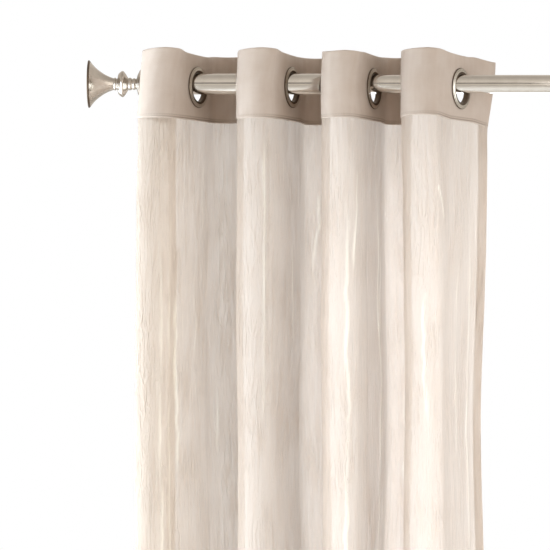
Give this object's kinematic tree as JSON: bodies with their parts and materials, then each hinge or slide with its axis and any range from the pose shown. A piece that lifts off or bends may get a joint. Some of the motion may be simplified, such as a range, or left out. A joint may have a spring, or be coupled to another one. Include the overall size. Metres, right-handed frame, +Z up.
{
  "type": "sheer voile curtain and curtain rod",
  "caption": "Sheer crushed voile panel with an opaque heading band and metal eyelets, hanging in deep leaning folds on a straight metal rod with trumpet finials.",
  "frame": {"origin": "on the rod's axis, where the left bracket carries it, between the first and second eyelets", "axes": "+X along the rod to the right as seen from the room, +Y back towards the wall, +Z up"},
  "size_m": [0.843, 0.1394, 2.1336],
  "materials": {
    "voile": "sheer crushed voile with fine upright crinkles, cream",
    "heading": "opaque plain-woven heading band, taupe, stitched along its lower edge",
    "eyelet_metal": "satin nickel",
    "rod_metal": "brushed nickel"
  },
  "bodies": {
    "root": {"voile_panel": "voile", "heading_band": "heading", "grommet_1": "eyelet_metal", "grommet_2": "eyelet_metal", "grommet_3": "eyelet_metal", "grommet_4": "eyelet_metal", "grommet_5": "eyelet_metal", "grommet_6": "eyelet_metal", "grommet_7": "eyelet_metal", "grommet_8": "eyelet_metal", "rod_outer_tube": "rod_metal", "rod_inner_tube": "rod_metal", "finial_left": "rod_metal", "finial_right": "rod_metal"}
  },
  "joints": []
}
